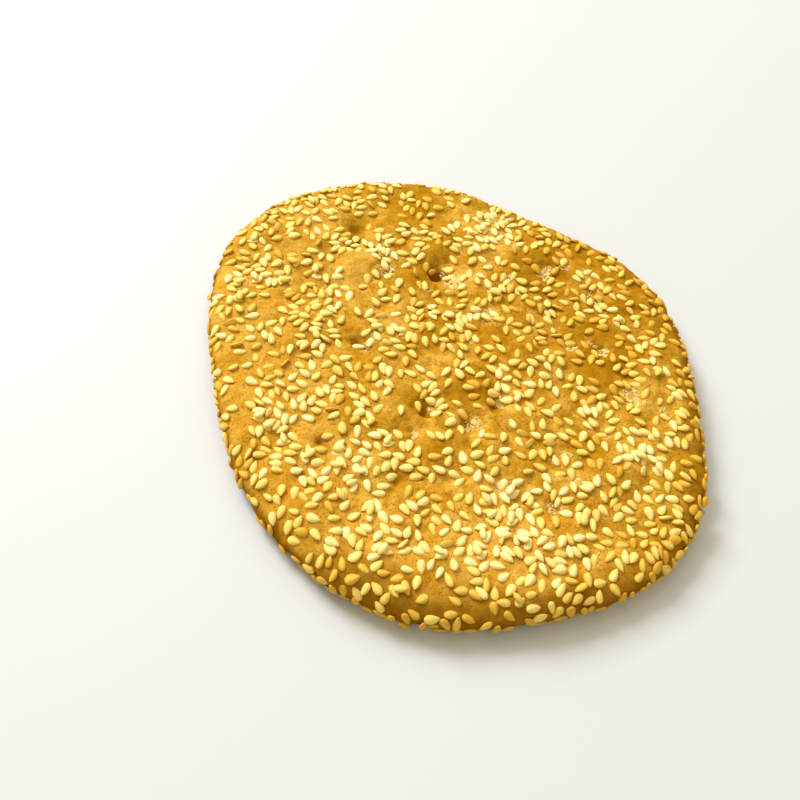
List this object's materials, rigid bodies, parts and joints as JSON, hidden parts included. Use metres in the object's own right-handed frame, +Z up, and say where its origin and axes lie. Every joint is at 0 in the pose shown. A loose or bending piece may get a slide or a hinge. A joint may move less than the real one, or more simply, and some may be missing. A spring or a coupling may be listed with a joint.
{
  "type": "sesame biscuit",
  "caption": "Thin round baked biscuit with an uneven edge, a blistered and pitted golden face, and sesame seeds fused over the face and rim; it rests on its flat underside.",
  "frame": {"origin": "on the plane of the flat underside, below the middle of the biscuit's bounding box", "axes": "+Z up through the biscuit's thickness, out of the blistered face; +Y away from the viewer of the picture, +X to the viewer's right"},
  "size_m": [0.1349, 0.1324, 0.0096],
  "materials": {
    "baked_crust": "baked golden crust, slightly oily, matte to satin"
  },
  "bodies": {
    "root": {"biscuit": "baked_crust"}
  },
  "joints": []
}
